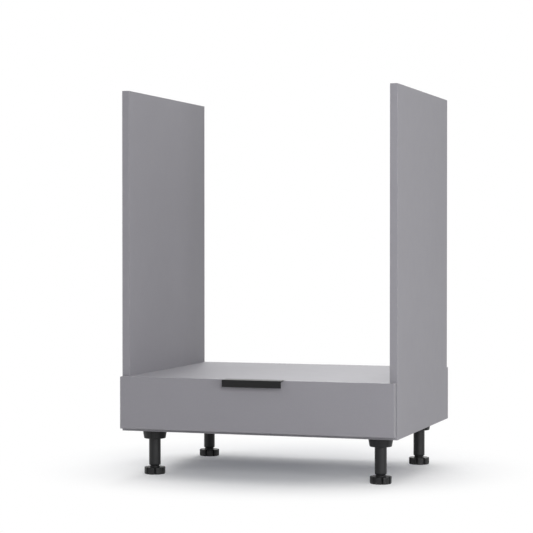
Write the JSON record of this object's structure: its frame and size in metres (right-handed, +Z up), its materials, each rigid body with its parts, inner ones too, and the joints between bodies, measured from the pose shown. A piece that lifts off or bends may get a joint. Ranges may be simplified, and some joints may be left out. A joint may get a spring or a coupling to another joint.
{
  "type": "oven base cabinet",
  "caption": "Base cabinet for a built-in oven: an open niche between full-height side panels over a low drawer on roller runners, on adjustable screw feet.",
  "frame": {"origin": "on the floor, in the middle of the outline that the cabinet has with its handle", "axes": "+X to the viewer's right when facing the drawer, +Y from the drawer front to the rear, +Z up"},
  "size_m": [0.6, 0.506, 0.817],
  "materials": {
    "laminate": "chipboard faced with matt mid-grey melamine",
    "banding": "matt grey edge banding",
    "zinc": "bright zinc plating",
    "beech": "fluted beech dowel, raw",
    "coated_steel": "epoxy-coated sheet steel, light grey satin",
    "handle_black": "matt black anodised extrusion",
    "nylon": "white nylon, satin",
    "leg_plastic": "black moulded plastic, satin with fine grain"
  },
  "bodies": {
    "cabinet": {"side_panel_left": "laminate", "side_panel_right": "laminate", "side_edging_left": "banding", "side_edging_right": "banding", "bottom_panel": "laminate", "bottom_edging": "banding", "oven_shelf": "laminate", "shelf_edging": "banding", "back_board": "laminate", "cam_locks": "zinc", "cam_bolts": "zinc", "dowels": "beech", "back_screws": "zinc", "rail_left": "coated_steel", "rail_right": "coated_steel", "rail_screws": "zinc", "rail_pins": "zinc", "socket_front_left": "leg_plastic", "socket_front_right": "leg_plastic", "socket_rear_left": "leg_plastic", "socket_rear_right": "leg_plastic", "tube_front_left": "leg_plastic", "tube_front_right": "leg_plastic", "tube_rear_left": "leg_plastic", "tube_rear_right": "leg_plastic", "socket_screws": "zinc"},
    "drawer": {"drawer_front": "laminate", "front_edging": "banding", "handle": "handle_black", "handle_screws": "zinc", "drawer_side_left": "coated_steel", "drawer_side_right": "coated_steel", "drawer_bottom": "laminate", "drawer_back": "laminate", "front_brackets": "coated_steel", "back_brackets": "coated_steel", "bracket_screws": "zinc", "drawer_screws": "zinc", "drawer_pins": "zinc"},
    "rail_roller_left": {"rail_roller_left": "nylon"},
    "drawer_roller_left": {"drawer_roller_left": "nylon"},
    "rail_roller_right": {"rail_roller_right": "nylon"},
    "drawer_roller_right": {"drawer_roller_right": "nylon"},
    "stem_front_left": {"stem_front_left": "leg_plastic"},
    "foot_front_left": {"foot_front_left": "leg_plastic"},
    "stem_front_right": {"stem_front_right": "leg_plastic"},
    "foot_front_right": {"foot_front_right": "leg_plastic"},
    "stem_rear_left": {"stem_rear_left": "leg_plastic"},
    "foot_rear_left": {"foot_rear_left": "leg_plastic"},
    "stem_rear_right": {"stem_rear_right": "leg_plastic"},
    "foot_rear_right": {"foot_rear_right": "leg_plastic"}
  },
  "joints": [
    {"name": "drawer_slide", "type": "slide", "parent": "cabinet", "child": "drawer", "axis": [0, -1, 0], "range_m": [0, 0.34]},
    {"name": "rail_roller_left_spin", "type": "hinge", "parent": "cabinet", "child": "rail_roller_left", "pos_m": [-0.2773, -0.203, 0.1365], "axis": [1, 0, 0], "range_deg": [0, 1949]},
    {"name": "drawer_roller_left_spin", "type": "hinge", "parent": "drawer", "child": "drawer_roller_left", "pos_m": [-0.2773, 0.217, 0.1365], "axis": [1, 0, 0], "range_deg": [0, 1949]},
    {"name": "rail_roller_right_spin", "type": "hinge", "parent": "cabinet", "child": "rail_roller_right", "pos_m": [0.2773, -0.203, 0.1365], "axis": [1, 0, 0], "range_deg": [0, 1949]},
    {"name": "drawer_roller_right_spin", "type": "hinge", "parent": "drawer", "child": "drawer_roller_right", "pos_m": [0.2773, 0.217, 0.1365], "axis": [1, 0, 0], "range_deg": [0, 1949]},
    {"name": "stem_front_left_travel", "type": "slide", "parent": "cabinet", "child": "stem_front_left", "axis": [0, 0, -1], "range_m": [-0.0016, 0.0201]},
    {"name": "foot_front_left_turn", "type": "hinge", "parent": "stem_front_left", "child": "foot_front_left", "pos_m": [-0.25, -0.159, 0.012], "axis": [0, 0, -1], "range_deg": [-135, 1800]},
    {"name": "stem_front_right_travel", "type": "slide", "parent": "cabinet", "child": "stem_front_right", "axis": [0, 0, -1], "range_m": [-0.0016, 0.0201]},
    {"name": "foot_front_right_turn", "type": "hinge", "parent": "stem_front_right", "child": "foot_front_right", "pos_m": [0.25, -0.159, 0.012], "axis": [0, 0, -1], "range_deg": [-135, 1800]},
    {"name": "stem_rear_left_travel", "type": "slide", "parent": "cabinet", "child": "stem_rear_left", "axis": [0, 0, -1], "range_m": [-0.0016, 0.0201]},
    {"name": "foot_rear_left_turn", "type": "hinge", "parent": "stem_rear_left", "child": "foot_rear_left", "pos_m": [-0.25, 0.181, 0.012], "axis": [0, 0, -1], "range_deg": [-135, 1800]},
    {"name": "stem_rear_right_travel", "type": "slide", "parent": "cabinet", "child": "stem_rear_right", "axis": [0, 0, -1], "range_m": [-0.0016, 0.0201]},
    {"name": "foot_rear_right_turn", "type": "hinge", "parent": "stem_rear_right", "child": "foot_rear_right", "pos_m": [0.25, 0.181, 0.012], "axis": [0, 0, -1], "range_deg": [-135, 1800]}
  ],
  "couplings": [
    {"joint": "rail_roller_left_spin", "follows": "drawer_slide", "rad_per_m": 100},
    {"joint": "drawer_roller_left_spin", "follows": "drawer_slide", "rad_per_m": 100},
    {"joint": "rail_roller_right_spin", "follows": "drawer_slide", "rad_per_m": 100},
    {"joint": "drawer_roller_right_spin", "follows": "drawer_slide", "rad_per_m": 100},
    {"joint": "stem_front_left_travel", "follows": "foot_front_left_turn", "m_per_rad": 0.00063662},
    {"joint": "stem_front_right_travel", "follows": "foot_front_right_turn", "m_per_rad": 0.00063662},
    {"joint": "stem_rear_left_travel", "follows": "foot_rear_left_turn", "m_per_rad": 0.00063662},
    {"joint": "stem_rear_right_travel", "follows": "foot_rear_right_turn", "m_per_rad": 0.00063662}
  ]
}
